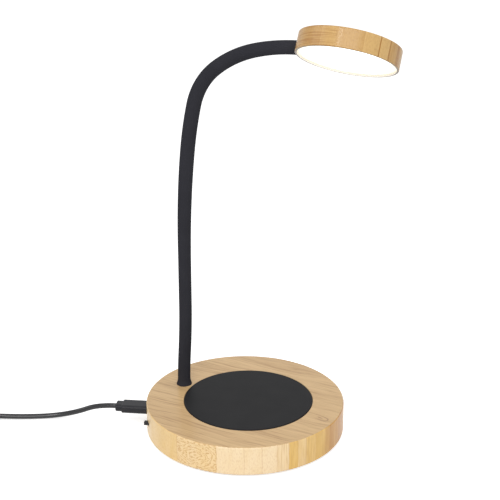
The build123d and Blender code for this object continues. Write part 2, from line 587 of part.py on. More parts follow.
def biarc(start, start_heading, end, end_heading):
    """Two arcs that meet in a tangent, from one point and heading to another."""
    across = end - start
    spread = 2 * (1 - start_heading.dot(end_heading))
    along = across.dot(start_heading + end_heading)
    if start_heading == end_heading:
        reach = across.dot(across) / (2 * along)
    else:
        reach = (math.sqrt(along**2 + spread * across.dot(across)) - along) / spread
    before, after = start + start_heading * reach, end - end_heading * reach
    middle = (before + after) / 2
    return [
        TangentArc(start, middle, tangent=start_heading),
        TangentArc(middle, end, tangent=(after - before).normalized()),
    ]


# Coil: half turns in on the table, one half turn that climbs and reverses, half turns out on top
half_step = COIL_PITCH / 2
coil_outer = COIL_INNER_RADIUS + COIL_HALF_TURNS_IN * half_step


def half_turn(start, side, height, growth, share=1.0):
    """An arc about the coil from the X axis on one side (1 or -1), wholly or for a share of it."""
    radius = start + growth * half_step / 2
    centre = Vector(side * (start - radius), 0, height)
    spots = [
        centre + Vector(side * radius * math.cos(turn), side * radius * math.sin(turn), 0)
        for turn in (0, math.pi * share / 2, math.pi * share)
    ]
    return ThreePointArc(*spots)


coil_runs = [Line((coil_outer, -CORD_DIAMETER, COIL_LOW), (coil_outer, 0, COIL_LOW))]
side, reach = 1, coil_outer
for _ in range(COIL_HALF_TURNS_IN):
    coil_runs.append(half_turn(reach, side, COIL_LOW, -1))
    side, reach = -side, reach - half_step
low_end = Vector(side * reach, 0, COIL_LOW)
middle = Vector(0, side * (reach - half_step / 2), (COIL_LOW + COIL_HIGH) / 2)
high_end = Vector(-side * reach, 0, COIL_HIGH)
climb = Vector(-side * math.pi * reach, 0, 2 * (COIL_HIGH - COIL_LOW)).normalized()
coil_runs += biarc(low_end, Vector(0, side, 0), middle, climb)
coil_runs += biarc(middle, climb, high_end, Vector(0, -side, 0))
side = -side
for _ in range(COIL_HALF_TURNS_OUT):
    coil_runs.append(half_turn(reach, side, COIL_HIGH, 1))
    side, reach = -side, reach + half_step
coil_runs.append(half_turn(reach, side, COIL_HIGH, 1, share=0.5))
tail_start = coil_runs[-1] @ 1
TAIL_END = tail_start + Vector(-side * COIL_TAIL, 0, HOST_PLUG_HEIGHT / 2 - COIL_HIGH)
tail_heading = Vector(-side, 0, 0)
coil_runs += biarc(tail_start, tail_heading, TAIL_END, tail_heading)
HOST_START = TAIL_END + tail_heading * CORD_DIAMETER
coil_runs.append(Line(TAIL_END, HOST_START))
coil_path = Wire(coil_runs)
lead_coil = tube(coil_path)

STEPS_PER_RUN = 12
NEAR_ALONG = 4 * CORD_DIAMETER
spots, distance = [], 0.0
for run in coil_runs:
    for step in range(STEPS_PER_RUN):
        spots.append((distance + run.length * step / STEPS_PER_RUN, run @ (step / STEPS_PER_RUN)))
    distance += run.length
least = min(
    (a - b).length for i, (s, a) in enumerate(spots) for t, b in spots[i + 1 :] if t - s > NEAR_ALONG
)
print("coil: least gap to itself", round(least - CORD_DIAMETER, 2), "length", round(distance, 1))
print("coil: volume over section times length", lead_coil.volume / (cord_section * distance))

# Tie: a flat band round all the turns at one place
turn_share = TIE_ANGLE / 360
tie_inner = COIL_INNER_RADIUS + COIL_PITCH * turn_share
tie_sag = tie_inner - math.sqrt(tie_inner**2 - (TIE_WIDTH / 2) ** 2)
tie_low = tie_inner - tie_sag - CORD_RADIUS - TIE_SLACK
tie_high = coil_outer - COIL_PITCH * turn_share + CORD_RADIUS + TIE_SLACK
tie_height = COIL_HIGH - COIL_LOW + 2 * (CORD_RADIUS + CLEAR_GAP)
tie_profile = RectangleRounded(
    tie_high - tie_low + 2 * TIE_THICKNESS, tie_height + 2 * TIE_THICKNESS, TIE_ROUND + TIE_THICKNESS
) - RectangleRounded(tie_high - tie_low, tie_height, TIE_ROUND)
lead_tie = extrude(Plane.XZ * tie_profile, TIE_WIDTH / 2, both=True)
lead_tie = Rot(0, 0, TIE_ANGLE) * Pos((tie_low + tie_high) / 2, 0, (COIL_LOW + COIL_HIGH) / 2) * lead_tie

# Plug at the lead's far end: a moulded body and an open steel shell with its contact bar
host_plug = bar(HOST_PLUG_WIDTH, HOST_PLUG_HEIGHT, HOST_PLUG_CORNER, 0, HOST_PLUG_LENGTH)
host_plug = fillet(host_plug.faces().filter_by(Axis.X).edges(), PLUG_EDGE_ROUND)
HOST_SHELL_END = HOST_PLUG_LENGTH + HOST_SHELL_LENGTH
host_plug_shell = bar(HOST_SHELL_WIDTH, HOST_SHELL_HEIGHT, HOST_SHELL_WALL, HOST_PLUG_LENGTH, HOST_SHELL_END)
host_hollow = Pos(HOST_PLUG_LENGTH + HOST_SHELL_WALL, 0, HOST_SHELL_HEIGHT / 2 - HOST_SHELL_WALL) * Box(
    HOST_SHELL_LENGTH,
    HOST_SHELL_WIDTH - 2 * HOST_SHELL_WALL,
    HOST_SHELL_HEIGHT - 2 * HOST_SHELL_WALL - HOST_TONGUE_HEIGHT,
    align=(Align.MIN, Align.CENTER, Align.MAX),
)
host_plug_shell -= host_hollow
HOST = Pos(HOST_START) * Rot(0, 0, 90 + 90 * side)
COIL = Pos(COIL_ENTRY[0] + CORD_DIAMETER, COIL_ENTRY[1] + coil_outer, 0) * Rot(0, 0, -90)

# One file for each piece
on_base = {
    "base_body": base_body,
    "bottom_cover": bottom_cover,
    "cover_screws": cover_screws,
    "ballast_plate": ballast_plate,
    "non_slip_pad": non_slip_pad,
    "neck_stud": NECK * neck_stud,
    "neck_washer": NECK * neck_washer,
    "neck_nut": NECK * neck_nut,
}
on_plate = {
    "heating_plate": heating_plate,
    "plate_gasket": plate_gasket,
    "heater_film": heater_film,
    "temperature_sensor": temperature_sensor,
    "insulation_pad": insulation_pad,
    "heater_retainer": heater_retainer,
    "retainer_screws": retainer_screws,
}
on_board = {
    "control_board": control_board,
    "board_parts": board_parts,
    "board_screws": board_screws,
    "usb_socket": usb_socket,
    "switch_body": switch_body,
    "switch_knob": switch_knob,
    "usb_plug": usb_plug,
    "usb_plug_tip": usb_plug_tip,
    "lead_cord": lead_cord,
    "lead_coil": COIL * lead_coil,
    "lead_tie": COIL * lead_tie,
    "host_plug": COIL * HOST * host_plug,
    "host_plug_shell": COIL * HOST * host_plug_shell,
}
on_head = {
    "head_shell": head_shell,
    "head_grub_screw": head_grub_screw,
    "led_board": led_board,
    "leds": leds,
    "diffuser": diffuser,
    "head_stud": head_stud,
}
for node, shape in on_base.items():
    save(node, shape)
for node, shape in on_plate.items():
    save(node, PLATE * shape)
for node, shape in on_board.items():
    save(node, PORT * shape)
for node, shape in on_head.items():
    save(node, HEAD * shape)
for link, (sleeve, core) in enumerate(zip(neck_sleeves, neck_cores)):
    save("neck_sleeve_" + str(link), sleeve)
    save("neck_core_" + str(link), core)
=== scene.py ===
import json
import math

import bpy
import numpy as np
from mathutils import Matrix, Vector


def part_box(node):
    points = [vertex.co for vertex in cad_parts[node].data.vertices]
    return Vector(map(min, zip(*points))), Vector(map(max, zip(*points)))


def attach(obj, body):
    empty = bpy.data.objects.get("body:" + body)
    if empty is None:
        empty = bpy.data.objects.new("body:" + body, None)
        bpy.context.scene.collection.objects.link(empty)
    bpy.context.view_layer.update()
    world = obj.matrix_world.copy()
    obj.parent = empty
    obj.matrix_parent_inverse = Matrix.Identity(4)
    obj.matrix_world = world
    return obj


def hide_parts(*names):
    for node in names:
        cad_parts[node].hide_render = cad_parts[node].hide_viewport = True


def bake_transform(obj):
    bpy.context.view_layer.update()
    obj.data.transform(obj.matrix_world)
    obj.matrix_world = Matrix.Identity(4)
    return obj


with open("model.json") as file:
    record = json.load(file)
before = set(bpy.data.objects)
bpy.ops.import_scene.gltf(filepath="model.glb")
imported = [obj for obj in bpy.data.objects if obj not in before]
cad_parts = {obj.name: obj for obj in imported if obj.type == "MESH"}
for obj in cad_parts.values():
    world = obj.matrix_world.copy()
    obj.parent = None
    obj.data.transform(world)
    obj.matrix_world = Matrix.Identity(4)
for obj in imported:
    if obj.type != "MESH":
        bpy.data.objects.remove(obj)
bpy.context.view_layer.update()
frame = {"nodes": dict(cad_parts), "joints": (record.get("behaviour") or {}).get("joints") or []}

# Camera. It stands in front of the lamp and to its right and looks down at it, with a long lens.
# The heading is its turn from a look along +Y, and the lens is for film 36 mm wide.
MM = 0.001
CAMERA_PLACE = Vector((330.4, -608.6, 381.2)) * MM
CAMERA_HEADING = math.radians(28.25)
CAMERA_PITCH = math.radians(20.96)
CAMERA_LENS = 91.66
camera = bpy.data.objects.new("camera", bpy.data.cameras.new("camera"))
camera.data.lens = CAMERA_LENS
camera.location = CAMERA_PLACE
camera.rotation_euler = (math.pi / 2 - CAMERA_PITCH, 0, CAMERA_HEADING)
bpy.context.scene.collection.objects.link(camera)
bpy.context.scene.camera = camera
bpy.context.scene.view_settings.view_transform = "Standard"

# Base: a disc of bamboo, a sliced face with its fibres from the neck's side to the lamp's, on a core
# glued up from strips that show their joints and end grain round the rim. It is turned, sanded and
# given a thin satin lacquer.
BASE_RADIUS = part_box("base_body")[1].x
BASE_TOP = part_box("base_body")[1].z
EDGE_LINE = 0.35 * MM
FACE_PALE = (0.61, 0.41, 0.2, 1)
FACE_DARK = (0.33, 0.185, 0.08, 1)
RIM_PALE = (0.87, 0.69, 0.445, 1)
RIM_HONEY = (0.74, 0.475, 0.135, 1)
FIGURE_DARK = (0.5, 0.23, 0.045, 1)
JOINT_TURN = math.radians(0.35)
JOINT_WAVER = math.radians(0.9)
# Each strip of the rim: where it starts in degrees, how much honey its colour has, and its figure
LINES, STREAKS, SPECKS, SWIRL = range(4)
# The honey shares are partly the strips' own tones and partly painted shade: they climb towards dark from
# about -40 to 27 degrees, where the rim turns away from the front light.
BASE_STRIPS = (
    (-180, 0.5, LINES), (-157, 0.45, STREAKS), (-131, 0.68, SPECKS), (-103.7, 0.4, SWIRL),
    (-78.5, 0.05, SPECKS), (-61.9, 0.1, SPECKS), (-52.5, 0.02, SPECKS), (-44.5, 0.2, STREAKS),
    (-37.6, 0.97, STREAKS), (-31.6, 0.55, STREAKS), (-25.4, 0.84, STREAKS), (-19.4, 1.05, STREAKS),
    (-11, 1.52, STREAKS), (-5.8, 1.8, STREAKS), (-1.4, 1.6, STREAKS), (0.4, 1.85, STREAKS),
    (3.2, 1.7, STREAKS), (5, 2, STREAKS), (27, 0.1, SPECKS), (41, 0.5, STREAKS),
    (50, 0.15, STREAKS), (63, 0.3, SPECKS), (81, 0.05, LINES), (104, 0.55, STREAKS),
    (116, 0.25, STREAKS), (128, 0.7, SPECKS), (139, 0.1, STREAKS), (158, 0.35, SPECKS),
)
BASE_SWIRL = (math.radians(-90.5), 0.53 * BASE_TOP)
RING_PITCH = 1.5 * MM
HAIRPIN_TIP = (56 * MM, -1.7 * MM, 0)
HAIRPIN_TURN = math.radians(-13)
HAIRPIN_REACH = 1.3 * MM
HAIRPIN_LINE = 2.25 * MM
HAIRPIN_SHARE = 0.85
HAIRPIN_FADE = (-11 * MM, -3 * MM)
HAIRPIN_CORE_FADE = (-8 * MM, -6 * MM)
SWIRL_STRETCH = 1.8
BASE_LACQUER = 0.3
LACQUER_ROUGHNESS = 0.2
GRAIN_DEPTH = 0.05 * MM
# The grain's blots: their size round the rim and up it, or along the face's fibres and across them
RIM_LINE = (22 * MM, 0.8 * MM, 1)
RIM_STREAK = (0.75 * MM, 14 * MM, 1)
RIM_SPECK = (0.8 * MM, 1.6 * MM, 1)
RIM_DRIFT = (5 * MM, 22 * MM, 1)
RIM_FIBRE = (0.4 * MM, 7 * MM, 1)
RING_WAVER = (5 * MM, 3 * MM, 1)
RING_WEAR = (1.2 * MM, 0.8 * MM, 1)
JOINT_WAVE = (40 * MM, 5 * MM, 1)
FACE_BAND = (150 * MM, 5.5 * MM, 1)
FACE_LINE = (42 * MM, 1.3 * MM, 1)
FACE_PORE = (11 * MM, 0.45 * MM, 1)
FACE_SWAY = (70 * MM, 26 * MM, 1)
FACE_WANDER = (20 * MM, 6 * MM, 1)
SWAY_REACH = 9 * MM
WANDER_REACH = 2.5 * MM
SLICE_CHANGE = 12


def new_finish(name, **sockets):
    """A new material, its node tree and its shader, whose sockets are set by name with _ for a space."""
    made = bpy.data.materials.new(name)
    made.use_nodes = True
    shader = made.node_tree.nodes["Principled BSDF"]
    for socket, value in sockets.items():
        shader.inputs[socket.replace("_", " ")].default_value = value
    return made, made.node_tree, shader


def feed(tree, socket, value):
    """Gives an input a number, or links it to another node's output."""
    if isinstance(value, bpy.types.NodeSocket):
        tree.links.new(value, socket)
    else:
        socket.default_value = value


def add(tree, kind, values, output=0, **options):
    """Adds a shader node, feeds its inputs by name or number and returns one output."""
    node = tree.nodes.new("ShaderNode" + kind)
    for option, value in options.items():
        setattr(node, option, value)
    for socket, value in values.items():
        feed(tree, node.inputs[socket], value)
    return node.outputs[output]


def calc(tree, operation, *values):
    """One step of arithmetic on numbers or outputs."""
    return add(tree, "Math", dict(enumerate(values)), operation=operation)


def blend_sum(tree, *terms):
    """The sum of outputs, each times its own number."""
    total = 0.0
    for value, weight in terms:
        total = calc(tree, "MULTIPLY_ADD", value, weight, total)
    return total


def length(tree, first, second):
    """The root of the sum of two squares."""
    rest = calc(tree, "MULTIPLY", second, second)
    return calc(tree, "SQRT", calc(tree, "MULTIPLY_ADD", first, first, rest))


def mix(tree, share, first, second):
    """Two colours mixed by a share."""
    return add(tree, "Mix", {0: share, 6: first, 7: second}, 2, data_type="RGBA")


def ease(tree, value, low, high):
    """A share that runs smoothly from 0 at low to 1 at high."""
    places = {"Value": value, "From Min": low, "From Max": high}
    return add(tree, "MapRange", places, interpolation_type="SMOOTHSTEP")


def place_on(tree, centre=(0, 0, 0), turn=(0, 0, 0)):
    """Where a point of the piece lies, as its x, y and z from a centre on turned axes."""
    spot = tree.nodes.new("ShaderNodeTexCoord").outputs["Object"]
    spot = add(tree, "Mapping", {"Vector": spot, "Location": centre, "Rotation": turn}, vector_type="TEXTURE")
    split = tree.nodes.new("ShaderNodeSeparateXYZ")
    tree.links.new(spot, split.inputs[0])
    return split.outputs


def cloud(tree, places, sizes, detail=2.0):
    """Noise whose blots have a size, in metres, along each of three coordinates."""
    scaled = [calc(tree, "DIVIDE", place, size) for place, size in zip(places, sizes)]
    spot = add(tree, "CombineXYZ", dict(enumerate(scaled)))
    return add(tree, "TexNoise", {"Vector": spot, "Scale": 1.0, "Detail": detail})


def bump(tree, shader, height, strength):
    """Relief from a height in metres."""
    values = {"Height": height, "Distance": 1.0, "Strength": strength}
    feed(tree, shader.inputs["Normal"], add(tree, "Bump", values))


def strip_at(tree, turn, strips):
    """The honey share, figure and side (0 or 1 by turns) of the strip at an angle, as a colour."""
    share = add(tree, "MapRange", {"Value": turn, "From Min": -math.pi, "From Max": math.pi})
    node = tree.nodes.new("ShaderNodeValToRGB")
    node.color_ramp.interpolation = "CONSTANT"
    steps = node.color_ramp.elements
    steps.remove(steps[-1])
    for number, (start, honey, figure) in enumerate(strips):
        step = steps[0] if number == 0 else steps.new((start + 180) / 360)
        step.color = (honey, figure / SWIRL, number % 2, 1)
    tree.links.new(share, node.inputs[0])
    split = tree.nodes.new("ShaderNodeSeparateColor")
    tree.links.new(node.outputs[0], split.inputs[0])
    return split.outputs


def rim_figures(tree, arc, height, swirl, radius):
    """The four figures of the rim's strips, each from 0 to 1: lines along it, streaks up it, the specks
    of cut fibres, and thin wavering rings about a spot of one strip, drawn out along the rim."""
    spot = (arc, height, 0)
    lines = ease(tree, cloud(tree, spot, RIM_LINE), 0.45, 0.62)
    streaks = ease(tree, cloud(tree, spot, RIM_STREAK, 3.0), 0.4, 0.8)
    specks = ease(tree, cloud(tree, spot, RIM_SPECK, 3.0), 0.38, 1.0)
    swirl_turn, swirl_height = swirl
    aside = calc(tree, "MULTIPLY_ADD", arc, 1 / SWIRL_STRETCH, -swirl_turn * radius / SWIRL_STRETCH)
    above = calc(tree, "SUBTRACT", height, swirl_height)
    waver = cloud(tree, spot, RING_WAVER, 5.0)
    away = calc(tree, "MULTIPLY_ADD", waver, 4 * RING_PITCH, length(tree, aside, above))
    rings = ease(tree, calc(tree, "SINE", calc(tree, "MULTIPLY", away, 2 * math.pi / RING_PITCH)), -0.4, 0.9)
    worn = ease(tree, cloud(tree, spot, RING_WEAR), 0.32, 0.6)
    return lines, streaks, specks, calc(tree, "MULTIPLY", rings, calc(tree, "MULTIPLY", worn, 1.35))


def rim_colour(tree, turn, height, strips, swirl, radius, tones):
    """The rim's colour and relief: each strip's tone from the table, which goes from pale to honey at 1 and
    on towards dark, its figure over fine upright fibres, and thin dark joints that waver a little. For the
    base, the table's tones also hold painted shade."""
    arc = calc(tree, "MULTIPLY", turn, radius)
    spot = (arc, height, 0)
    waver = cloud(tree, spot, JOINT_WAVE, 1.0)
    place = calc(tree, "MULTIPLY_ADD", calc(tree, "SUBTRACT", waver, 0.5), JOINT_WAVER, turn)
    honey, figure, side = strip_at(tree, place, strips)
    relief = 0.0
    for number, shape in enumerate(rim_figures(tree, arc, height, swirl, radius)):
        chosen = calc(tree, "COMPARE", figure, number / SWIRL, 0.1)
        relief = calc(tree, "MULTIPLY_ADD", chosen, shape, relief)
    drift = cloud(tree, spot, RIM_DRIFT, 3.0)
    fibres = cloud(tree, spot, RIM_FIBRE, 2.0)
    tone = blend_sum(tree, (drift, 0.55), (fibres, 0.4))
    tone = calc(tree, "ADD", honey, calc(tree, "SUBTRACT", tone, 0.475))
    pale, rich, dark = tones
    colour = mix(tree, calc(tree, "MINIMUM", calc(tree, "MAXIMUM", tone, 0), 1), pale, rich)
    colour = mix(tree, calc(tree, "MAXIMUM", calc(tree, "SUBTRACT", tone, 1), 0), colour, dark)
    colour = mix(tree, calc(tree, "MULTIPLY", relief, 0.45), colour, dark)
    later = strip_at(tree, calc(tree, "ADD", place, JOINT_TURN), strips)[2]
    joint = calc(tree, "ABSOLUTE", calc(tree, "SUBTRACT", later, side))
    return mix(tree, calc(tree, "MULTIPLY", joint, 0.3), colour, dark), relief


def face_colour(tree, along, across, depth, pale, dark):
    """The sliced face's colour and relief: noise drawn out along the fibres at three widths."""
    spot = (along, across, depth)
    bands = ease(tree, cloud(tree, spot, FACE_BAND, 1.0), 0.35, 0.75)
    lines = ease(tree, cloud(tree, spot, FACE_LINE, 2.0), 0.5, 0.68)
    pores = ease(tree, cloud(tree, spot, FACE_PORE, 1.0), 0.54, 0.72)
    shade = blend_sum(tree, (bands, 0.28), (lines, 0.4), (pores, 0.3))
    return mix(tree, calc(tree, "MINIMUM", shade, 1), pale, dark), shade


def hairpin(tree):
    """One grain line that turns back on itself round a short core, as a share: the distance from an axis,
    squared, plus a term that grows e-fold along it is the same all along the line. Both fade out along it."""
    along, aside, depth = place_on(tree, HAIRPIN_TIP, (0, 0, HAIRPIN_TURN))
    growth = calc(tree, "EXPONENT", calc(tree, "DIVIDE", along, HAIRPIN_REACH))
    level = calc(tree, "MULTIPLY_ADD", growth, HAIRPIN_LINE**2, calc(tree, "MULTIPLY", aside, aside))
    level = calc(tree, "SQRT", level)
    apart = calc(tree, "ABSOLUTE", calc(tree, "SUBTRACT", level, HAIRPIN_LINE))
    line = calc(tree, "MULTIPLY", ease(tree, apart, 0.55 * MM, 0.1 * MM), ease(tree, along, *HAIRPIN_FADE))
    core = ease(tree, level, 0.8 * MM, 0.3 * MM)
    core = calc(tree, "MULTIPLY", core, ease(tree, along, *HAIRPIN_CORE_FADE))
    return calc(tree, "MAXIMUM", line, core)


def bamboo(name, radius, strips, swirl, tones, face_tones, lacquer, centre=(0, 0, 0), turn=(0, 0, 0)):
    """Lacquered bamboo for a disc about z: the rim's strips past its edge line, the sliced face elsewhere,
    whose fibres sway and wander a little."""
    made, tree, shader = new_finish(
        name, Coat_Weight=lacquer, Coat_Roughness=LACQUER_ROUGHNESS, Specular_IOR_Level=0.35
    )
    x, y, z = place_on(tree, centre, turn)
    sway = cloud(tree, (x, y, z), FACE_SWAY, 1.0)
    wander = cloud(tree, (x, y, z), FACE_WANDER, 2.0)
    across = calc(tree, "ADD", y, blend_sum(tree, (sway, SWAY_REACH), (wander, WANDER_REACH)))
    face, face_relief = face_colour(tree, x, across, calc(tree, "MULTIPLY", y, SLICE_CHANGE), *face_tones)
    if centre == (0, 0, 0):
        face = mix(tree, calc(tree, "MULTIPLY", hairpin(tree), HAIRPIN_SHARE), face, FACE_DARK)
    angle = calc(tree, "ARCTAN2", y, x)
    rim, rim_relief = rim_colour(tree, angle, z, strips, swirl, radius, tones)
    on_rim = calc(tree, "GREATER_THAN", length(tree, x, y), radius - EDGE_LINE)
    feed(tree, shader.inputs["Base Color"], mix(tree, on_rim, face, rim))
    relief = add(tree, "Mix", {0: on_rim, 2: face_relief, 3: rim_relief})
    feed(tree, shader.inputs["Roughness"], calc(tree, "MULTIPLY_ADD", relief, 0.14, 0.4))
    bump(tree, shader, calc(tree, "MULTIPLY", relief, -GRAIN_DEPTH), 0.6)
    return made


def dress(finish, *nodes):
    """Gives CAD nodes a finish."""
    for node in nodes:
        mesh = frame["nodes"][node].data
        mesh.materials.clear()
        mesh.materials.append(finish)


base_tones = (RIM_PALE, RIM_HONEY, FIGURE_DARK)
face_tones = (FACE_PALE, FACE_DARK)
base_bamboo = bamboo(
    "bamboo_base", BASE_RADIUS, BASE_STRIPS, BASE_SWIRL, base_tones, face_tones, BASE_LACQUER
)
dress(base_bamboo, "base_body")

# Heating plate: a disc of spun aluminium under a black heat-proof coating, dropped into the recess on a
# silicone gasket, a little nearer the lamp than the base's middle. The coating has a fine orange peel
# over the tool's faint rings.
PLATE_BLACK = (0.008, 0.008, 0.009, 1)
PLATE_GREY = (0.015, 0.015, 0.016, 1)
plate_low, plate_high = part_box("heating_plate")
PLATE_MIDDLE = ((plate_low.x + plate_high.x) / 2, 0, 0)
plate_coat, tree, shader = new_finish("plate_coat", Roughness=0.5, Specular_IOR_Level=0.1)
x, y, z = place_on(tree, PLATE_MIDDLE)
rings = cloud(tree, (length(tree, x, y), 0, 0), (0.5 * MM, 1, 1))
peel = cloud(tree, (x, y, z), (0.7 * MM,) * 3)
patches = cloud(tree, (x, y, z), (14 * MM,) * 3, 3.0)
feed(tree, shader.inputs["Base Color"], mix(tree, patches, PLATE_BLACK, PLATE_GREY))
bump(tree, shader, blend_sum(tree, (rings, 0.02 * MM), (peel, 0.02 * MM)), 0.5)
dress(plate_coat, "heating_plate")


# Rubber and moulded plastic: the gasket and pad in silicone, the cover, chips and knob in hard plastic,
# the lead's plugs and tie in soft plastic. All are black and come from spark-worn moulds.
def moulded(name, dark, light, roughness, gloss, grain, relief):
    """A moulded black finish: a fine grain of a size in metres and slow patches of a lighter tone."""
    made, tree, shader = new_finish(name, Roughness=roughness, Specular_IOR_Level=gloss)
    spot = place_on(tree)
    patches = cloud(tree, spot, (11 * MM,) * 3, 3.0)
    feed(tree, shader.inputs["Base Color"], mix(tree, patches, dark, light))
    bump(tree, shader, calc(tree, "MULTIPLY", cloud(tree, spot, (grain,) * 3), relief), 0.7)
    return made


silicone = moulded(
    "silicone",
    dark=(0.025, 0.025, 0.03, 1),
    light=(0.035, 0.035, 0.042, 1),
    roughness=0.6,
    gloss=0.012,
    grain=0.25 * MM,
    relief=0.008 * MM,
)
hard_plastic = moulded(
    "hard_plastic",
    dark=(0.014, 0.014, 0.015, 1),
    light=(0.022, 0.022, 0.024, 1),
    roughness=0.42,
    gloss=0.25,
    grain=0.5 * MM,
    relief=0.02 * MM,
)
soft_plastic = moulded(
    "soft_plastic",
    dark=(0.014, 0.014, 0.017, 1),
    light=(0.026, 0.026, 0.03, 1),
    roughness=0.36,
    gloss=0.2,
    grain=0.3 * MM,
    relief=0.01 * MM,
)
dress(silicone, "plate_gasket", "non_slip_pad")
dress(hard_plastic, "bottom_cover", "board_parts", "switch_knob", "temperature_sensor")
dress(soft_plastic, "usb_plug", "host_plug", "lead_tie")


# Metal pieces: zinc-plated steel for the ballast, retainer, screws, nut and studs, and nickel-plated
# steel for the socket, the switch's case and the plugs' shells. The zinc has a faint spangle.
def plated(name, dark, light, roughness, spangle):
    """A plated metal: patches of two tones and a roughness that follows them."""
    made, tree, shader = new_finish(name, Metallic=1.0)
    patches = cloud(tree, place_on(tree), (spangle,) * 3, 3.0)
    feed(tree, shader.inputs["Base Color"], mix(tree, patches, dark, light))
    feed(tree, shader.inputs["Roughness"], calc(tree, "MULTIPLY_ADD", patches, 0.12, roughness))
    return made


zinc = plated("zinc", (0.5, 0.51, 0.53, 1), (0.68, 0.69, 0.7, 1), 0.28, 3 * MM)
nickel = plated("nickel", (0.6, 0.59, 0.57, 1), (0.74, 0.73, 0.71, 1), 0.18, 2 * MM)
dress(zinc, "ballast_plate", "heater_retainer", "retainer_screws", "cover_screws", "board_screws")
dress(zinc, "neck_stud", "neck_washer", "neck_nut", "head_stud", "head_grub_screw")
dress(nickel, "usb_socket", "switch_body", "usb_plug_tip", "host_plug_shell")

# Heater stack and boards: an amber film heater with its etched track, a white felt pad over it, a green
# control board and the lamp's white board with its yellow LEDs.
FILM_AMBER = (0.62, 0.27, 0.04, 1)
FILM_TRACK = (0.3, 0.14, 0.05, 1)
TRACK_PITCH = 4 * MM
heater_film, tree, shader = new_finish("heater_film", Roughness=0.25)
x, y, z = place_on(tree, PLATE_MIDDLE)
turns = calc(tree, "MULTIPLY", length(tree, x, y), 2 * math.pi / TRACK_PITCH)
track = calc(tree, "GREATER_THAN", calc(tree, "SINE", turns), 0)
feed(tree, shader.inputs["Base Color"], mix(tree, track, FILM_AMBER, FILM_TRACK))
dress(heater_film, "heater_film")


def speckled(name, dark, light, size, roughness):
    """A matt finish in two tones that change over a size."""
    made, tree, shader = new_finish(name, Roughness=roughness)
    shade = cloud(tree, place_on(tree), (size,) * 3, 4.0)
    feed(tree, shader.inputs["Base Color"], mix(tree, shade, dark, light))
    return made


# Each of these pieces: its finish, the finish's darker and lighter tone, size and roughness
SPECKLED_PIECES = (
    ("insulation_pad", "felt", (0.66, 0.65, 0.6, 1), (0.86, 0.85, 0.8, 1), 0.8 * MM, 0.95),
    ("control_board", "solder_mask", (0.008, 0.09, 0.035, 1), (0.015, 0.16, 0.06, 1), 4 * MM, 0.35),
    ("led_board", "board_white", (0.78, 0.78, 0.76, 1), (0.88, 0.88, 0.86, 1), 5 * MM, 0.4),
    ("leds", "phosphor", (0.85, 0.62, 0.12, 1), (0.95, 0.78, 0.25, 1), 1 * MM, 0.4),
)
for node, *finish in SPECKLED_PIECES:
    dress(speckled(*finish), node)

# Neck: one silicone sleeve drawn over a bendable steel conduit, with a small skirt on the base and a
# little fuller over the bend. Its line turns at a steady rate along each of nine lengths. It is made as
# eight tubes, one about each hinge.
NECK_LENGTHS = np.array((22, 34, 34, 32, 30, 28, 28, 28, 28)) * MM
NECK_TURNS = np.radians((4, -4, 0.2, 2.9, 3.2, 6.7, 39, 22.5, 14.1))
NECK_STEP = 1 * MM
SLEEVE_RADIUS = 3.9 * MM
SLEEVE_HOLLOW = 3.05 * MM
SLEEVE_SWELL = 0.42 * MM
SWELL_START, SWELL_END = 85 * MM, 250 * MM
SKIRT_RADIUS = 4.8 * MM
SKIRT_HEIGHT = 4.2 * MM
SLEEVE_SIDES = 48
neck_ends = np.concatenate(((0,), np.cumsum(NECK_LENGTHS)))
neck_headings = np.concatenate(((0,), np.cumsum(NECK_TURNS)))
neck_x = sum(corner.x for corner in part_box("neck_stud")) / 2


def neck_line(distances):
    """Points along the neck and their headings from upright. The heading grows evenly along each length,
    and the point is the foot plus the sum of the heading's sine and cosine over fine steps."""
    fine = np.linspace(0, neck_ends[-1], 4001)
    heading = np.interp(fine, neck_ends, neck_headings)
    middle = (heading[1:] + heading[:-1]) / 2
    step = fine[1] - fine[0]
    run_x = neck_x + step * np.concatenate(((0,), np.cumsum(np.sin(middle))))
    run_z = BASE_TOP + step * np.concatenate(((0,), np.cumsum(np.cos(middle))))
    x, z, turn = (np.interp(distances, fine, run) for run in (run_x, run_z, heading))
    return np.stack((x, np.zeros_like(x), z), axis=-1), turn


def closed_grid(name, points):
    """A mesh of quads on a grid of points that closes on itself both ways, smooth but for its rims."""
    rows, columns = points.shape[:2]
    row, column = np.meshgrid(np.arange(rows), np.arange(columns), indexing="ij")
    next_row, next_column = (row + 1) % rows, (column + 1) % columns
    corners = ((row, column), (row, next_column), (next_row, next_column), (next_row, column))
    quads = np.stack([a * columns + b for a, b in corners], axis=-1).reshape(-1, 4)
    mesh = bpy.data.meshes.new(name)
    mesh.from_pydata(points.reshape(-1, 3), [], quads)
    mesh.polygons.foreach_set("use_smooth", np.ones(len(quads), bool))
    mesh.set_sharp_from_angle(angle=math.radians(40))
    piece = bpy.data.objects.new(name, mesh)
    bpy.context.scene.collection.objects.link(piece)
    return piece


def sleeve_tube(name, start, end):
    """A tube along the neck: circles square to its line, up the outside and back down the inside. The
    outside swells by half a sine wave over the bend and by a parabola at the skirt."""
    count = max(2, round((end - start) / NECK_STEP) + 1)
    distances = np.linspace(start, end, count)
    skirt = np.clip(1 - distances / SKIRT_HEIGHT, 0, 1) ** 2 * (SKIRT_RADIUS - SLEEVE_RADIUS)
    bend = np.clip((distances - SWELL_START) / (SWELL_END - SWELL_START), 0, 1)
    outside = SLEEVE_RADIUS + skirt + SLEEVE_SWELL * np.sin(math.pi * bend)
    distances = np.concatenate((distances, distances[::-1]))
    radius = np.concatenate((outside, np.full(count, SLEEVE_HOLLOW)))[:, None, None]
    centres, heading = neck_line(distances)
    across = np.stack((np.cos(heading), 0 * heading, -np.sin(heading)), axis=-1)
    around = np.linspace(0, 2 * math.pi, SLEEVE_SIDES, endpoint=False)[None, :, None]
    ring = np.cos(around) * across[:, None, :] + np.sin(around) * np.array((0, 1, 0))
    return closed_grid(name, centres[:, None, :] + radius * ring)


